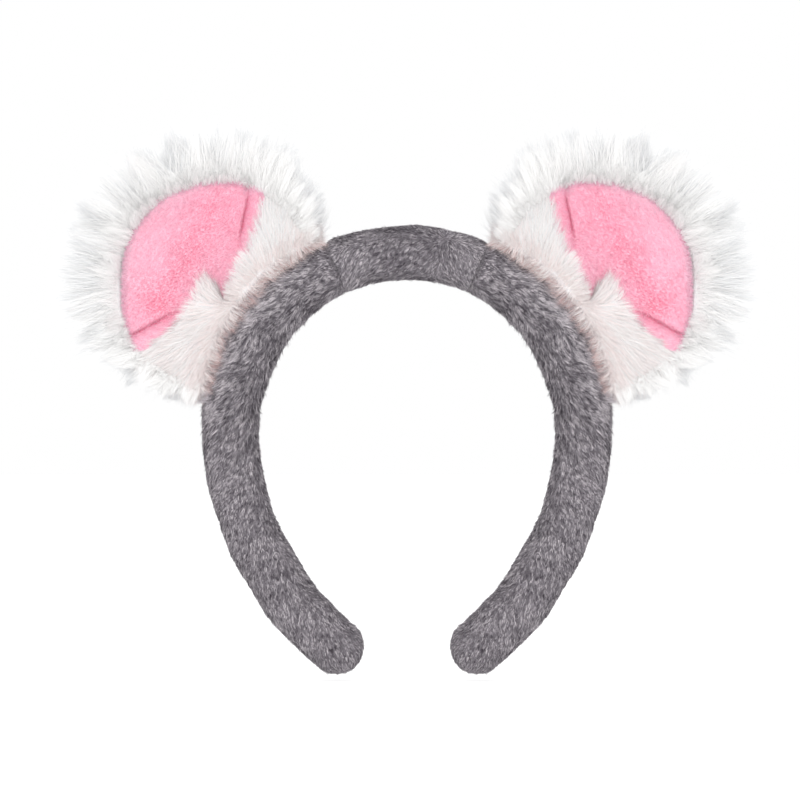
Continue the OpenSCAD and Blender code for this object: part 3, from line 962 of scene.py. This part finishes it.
def ear_threads(name):
    """The threads of an ear's edge, its folded corners and its base."""
    side = SIDES[name]
    for part, ends, material, slot in (
            ("edge_seam", edge_stitch_ends(), PINK_THREAD, "pink_thread"),
            ("fold_stitches", fold_stitch_ends(), WHITE_THREAD, "white_thread"),
            ("base_stitches", base_stitch_ends(), GREY_THREAD, "grey_thread")):
        v, t = stitches(ends, EAR_THREAD_R)
        made = mesh(f"{name}_ear_{part}_thread", to_frame(v), t, [material], side)
        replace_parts(made, f"{name}_ear_{part}")
        flop(made)


def ears():
    """Both ears: the same cloth and fur, mirrored."""
    skin, panel, batting = ear_skin(), ear_panel(), ear_batting()
    grown = {"ear_back_fur": fur(skin, "back", 41), "ear_edge_fur": fur(skin, "edge", 51),
             "ear_rim_fur": fur(skin, "rim", 57),
             "ear_fold_fur": fold_fur(skin), "ear_base_fur": base_fur(skin), "ear_pile": pink_pile(panel)}
    for name, side in SIDES.items():
        back = mesh(f"{name}_ear_fur_cloth", to_frame(skin[0]), skin[1], [WHITE_CLOTH], side)
        front = mesh(f"{name}_ear_panel", to_frame(panel[0]), panel[1], [PINK_CLOTH], side)
        pad = mesh(f"{name}_ear_batting", to_frame(batting[0]), batting[1], [BATTING], side)
        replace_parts(back, f"{name}_ear_back")
        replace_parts(front, f"{name}_ear_lining")
        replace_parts(pad, f"{name}_ear_filling")
        for o in (back, front, pad):
            flop(o)
        for part, (v, t, tint) in grown.items():
            pink = part == "ear_pile"
            made = mesh(f"{name}_{part}", to_frame(v), t, PINK_HAIRS if pink else WHITE_HAIRS, side, tint)
            flop(made)
        ear_threads(name)


# ---------------------------------------------------------------- stage

def stage():
    """A plain pale floor, just under the hoop's tips."""
    floor = bpy.data.meshes.new("floor")
    z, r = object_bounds()[0].z - 0.002, 6.0
    floor.from_pydata([(-r, -r, z), (r, -r, z), (r, r, z), (-r, r, z)], [], [(0, 1, 2, 3)])
    made = bpy.data.objects.new("floor", floor)
    m, shader = new_material("floor", (0.35, 0.35, 0.35), 0.9, 0.1)
    shader.inputs["Emission Color"].default_value = (1, 1, 1, 1)
    shader.inputs["Emission Strength"].default_value = 0.76
    floor.materials.append(m)
    bpy.context.scene.collection.objects.link(made)
    made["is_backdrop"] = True


def area_light(name, where, size, power, target=(0, 0, 0.01)):
    """A round lamp that faces the object."""
    data = bpy.data.lights.new(name, "AREA")
    data.shape, data.size, data.energy = "DISK", size, power
    lamp = bpy.data.objects.new(name, data)
    lamp.location = where
    lamp.rotation_euler = (Vector(target) - Vector(where)).to_track_quat("-Z", "Y").to_euler()
    bpy.context.scene.collection.objects.link(lamp)


def studio():
    """Soft light from all round, a little stronger from above and in front."""
    world = bpy.data.worlds.new("studio")
    world.use_nodes = True
    world.node_tree.nodes["Background"].inputs["Color"].default_value = (1, 1, 1, 1)
    world.node_tree.nodes["Background"].inputs["Strength"].default_value = 1.0
    bpy.context.scene.world = world
    bpy.context.scene.view_settings.view_transform = "Standard"
    area_light("key", (-0.15, -1.3, 1.1), 0.9, 5.5)
    area_light("front_fill", (0.1, -2.6, 0.3), 1.6, 8.5)
    area_light("back_fill", (0.0, 1.8, 1.2), 1.6, 7.5)
    stage()


def camera():
    """A long lens straight in front, which takes in view_width at the hoop's distance."""
    distance, view_width = 2.2, 0.320
    data = bpy.data.cameras.new("camera")
    data.sensor_width = 36
    data.lens = data.sensor_width * distance / view_width
    made = bpy.data.objects.new("camera", data)
    made.location = (-0.0028, -distance, 0.0112)
    made.rotation_euler = (math.pi / 2, 0, 0)
    bpy.context.scene.collection.objects.link(made)
    bpy.context.scene.camera = made


camera()
crown_cover()
for side_name in SIDES:
    leg_cover(side_name)
    hoop_layers(side_name)
seam_threads()
ears()
studio()
